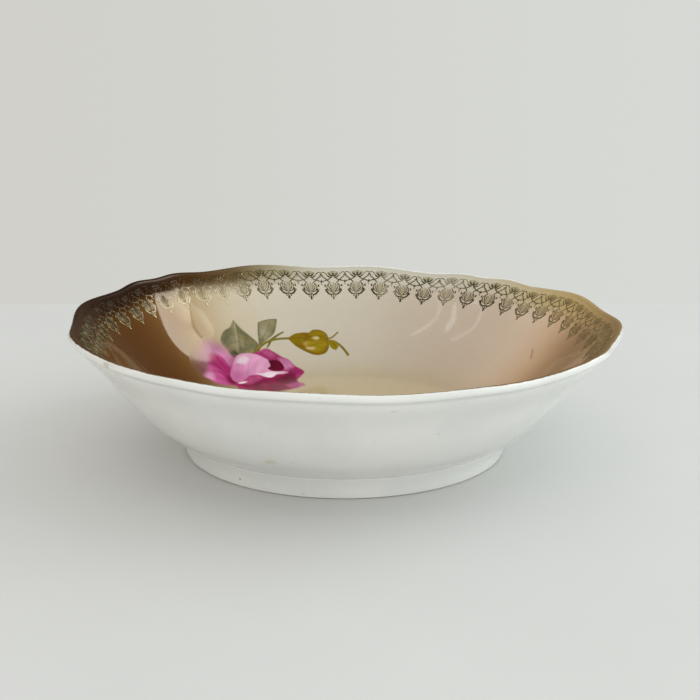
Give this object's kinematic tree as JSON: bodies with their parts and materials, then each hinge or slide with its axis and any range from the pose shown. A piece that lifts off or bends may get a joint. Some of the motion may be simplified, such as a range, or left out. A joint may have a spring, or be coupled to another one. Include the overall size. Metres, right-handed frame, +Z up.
{
  "type": "serving bowl",
  "caption": "Round porcelain serving bowl with a flared side, a wavy rolled lip, a low foot ring, a gilt lace border and a painted rose inside.",
  "frame": {"origin": "centre of the flat face that the foot ring rests on", "axes": "+Z up along the bowl's axis; +Y towards the back, where two lace strips join; the rose lies inside at the back left (-X, +Y)"},
  "size_m": [0.2524, 0.2524, 0.0637],
  "materials": {
    "porcelain_glaze": "clear gloss glaze over cool white porcelain",
    "foot_glaze": "clear glaze, bare and slightly rough where it rests",
    "ground_colour": "sprayed ground colour, dark brown fading to cream and rosy beige, glossy",
    "fired_gold": "fired gold lace, worn satin",
    "rose_pink": "printed magenta and pale pink petals, glossy",
    "leaf_green": "printed grey-green leaves, glossy",
    "stem_olive": "printed olive stems, glossy",
    "bud_olive": "printed olive-yellow buds, glossy"
  },
  "bodies": {
    "root": {"bowl_body": "porcelain_glaze", "foot_ring": "foot_glaze", "ground_enamel": "ground_colour", "lace_strip_1": "fired_gold", "lace_strip_2": "fired_gold", "lace_strip_3": "fired_gold", "lace_strip_4": "fired_gold", "rose_bloom": "rose_pink", "rose_leaf_long": "leaf_green", "rose_leaf_short": "leaf_green", "rose_stem": "stem_olive", "rose_tendril": "stem_olive", "rose_bud": "bud_olive", "rose_small_bud": "bud_olive"}
  },
  "joints": []
}
